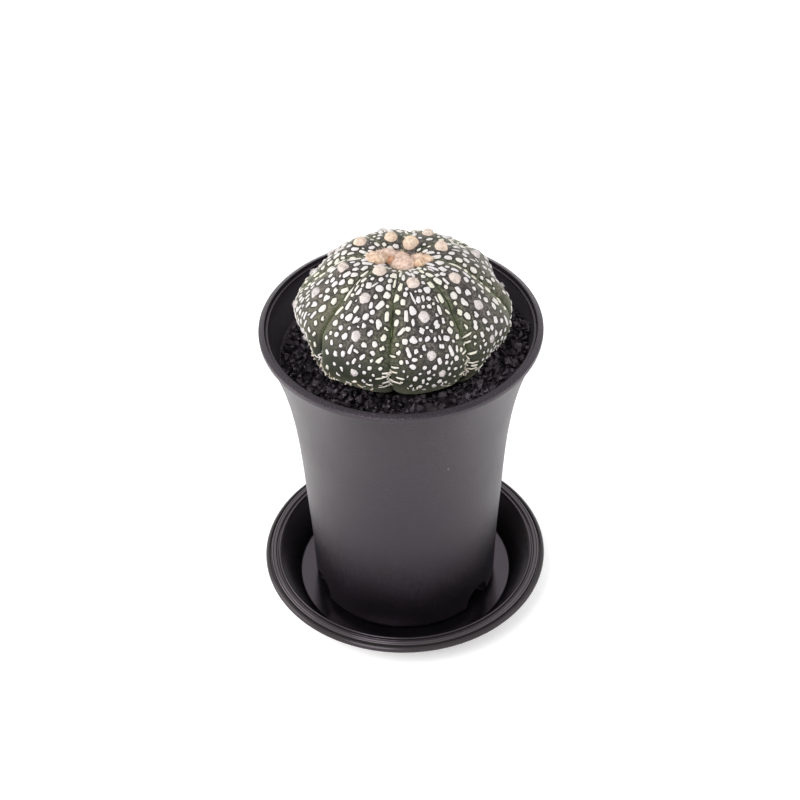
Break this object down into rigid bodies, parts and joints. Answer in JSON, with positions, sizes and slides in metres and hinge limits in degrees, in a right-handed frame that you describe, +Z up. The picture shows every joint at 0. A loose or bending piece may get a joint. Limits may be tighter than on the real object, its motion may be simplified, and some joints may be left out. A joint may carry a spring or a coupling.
{
  "type": "potted star cactus",
  "caption": "Low round star cactus with broad ribs, felt pads and white flecks, in black grit in a tall flared plastic pot standing on a ridged saucer.",
  "frame": {"origin": "on the surface that the saucer stands on, under the middle of the saucer", "axes": "+Z up along the pot's axis, -Y towards the viewer of the picture, +X to the viewer's right"},
  "size_m": [0.0966, 0.0966, 0.14],
  "materials": {
    "saucer_plastic": "satin black plastic with fine turned ridges",
    "pot_plastic": "satin black plastic with a fine grain and dust specks",
    "grit": "black angular volcanic grit",
    "cactus_skin": "dull green to purplish grey plant skin with white felt flecks",
    "wool": "matted cream and peach plant wool"
  },
  "bodies": {
    "root": {"saucer": "saucer_plastic", "pot": "pot_plastic", "soil": "grit", "cactus": "cactus_skin", "crown_wool": "wool"}
  },
  "joints": []
}
